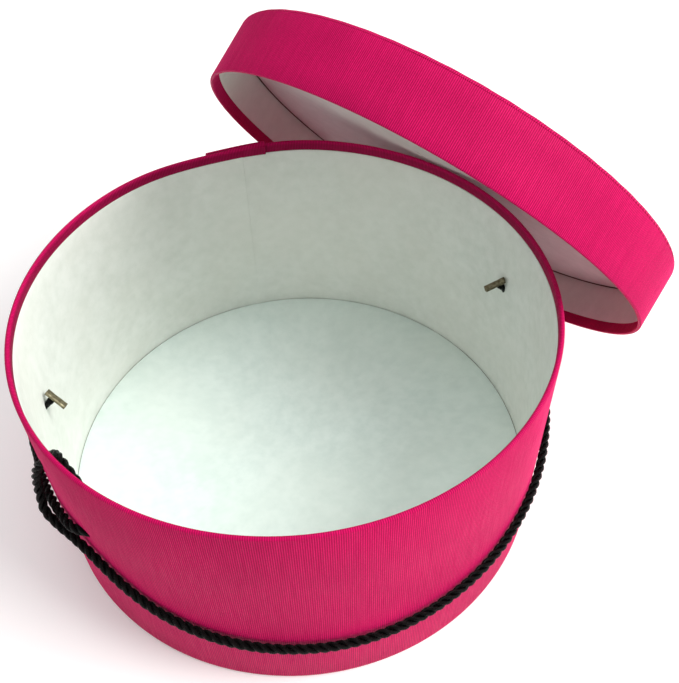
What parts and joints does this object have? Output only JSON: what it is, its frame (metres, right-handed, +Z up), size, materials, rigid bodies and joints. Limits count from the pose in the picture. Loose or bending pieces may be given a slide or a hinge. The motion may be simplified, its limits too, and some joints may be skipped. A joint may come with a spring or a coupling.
{
  "type": "hat box",
  "caption": "Round cloth-covered hat box with a paper-lined hollow, a rope handle held inside by metal toggles, and a shallow padded lid that leans on its rim.",
  "frame": {"origin": "centre of the drum's underside, on the surface it stands on", "axes": "+Z up along the drum's axis; -Y towards the low middle of the rope handle; the lid leans on the rim towards +X and +Y"},
  "size_m": [0.5355, 0.5287, 0.37],
  "materials": {
    "ribbed_cloth": "ribbed, slightly lustrous hot pink",
    "board": "plain grey board",
    "lining_paper": "matt ivory, faintly mottled",
    "wadding": "soft white wadding",
    "rope": "black twisted cord, slightly shiny",
    "toggle_metal": "dull antique, folded sheet"
  },
  "bodies": {
    "drum": {"body_wall_board": "board", "body_base_board": "board", "body_base_card": "board", "body_fabric": "ribbed_cloth", "body_lap_board": "board", "body_fabric_lap": "ribbed_cloth", "body_wall_liner": "lining_paper", "body_floor_liner": "lining_paper", "handle_rope": "rope"},
    "left_toggle": {"left_rope_tip": "rope", "left_toggle_bar": "toggle_metal"},
    "right_toggle": {"right_rope_tip": "rope", "right_toggle_bar": "toggle_metal"},
    "lid": {"lid_band_board": "board", "lid_top_board": "board", "lid_top_wadding": "wadding", "lid_band_fabric": "ribbed_cloth", "lid_top_fabric": "ribbed_cloth", "lid_band_liner": "lining_paper", "lid_top_liner": "lining_paper"}
  },
  "joints": [
    {"name": "lid_lift", "type": "slide", "parent": "drum", "child": "lid", "axis": [0, 0, 1], "range_m": [0, 0.2]},
    {"name": "left_toggle_turn", "type": "hinge", "parent": "drum", "child": "left_toggle", "pos_m": [-0.20103, -0.00526, 0.107], "axis": [0.7069, 0.0185, 0.7071], "range_deg": [-45, 45]},
    {"name": "right_toggle_turn", "type": "hinge", "parent": "drum", "child": "right_toggle", "pos_m": [0.19014, 0.06547, 0.123], "axis": [-0.6078, -0.2093, 0.766], "range_deg": [-45, 45]}
  ]
}
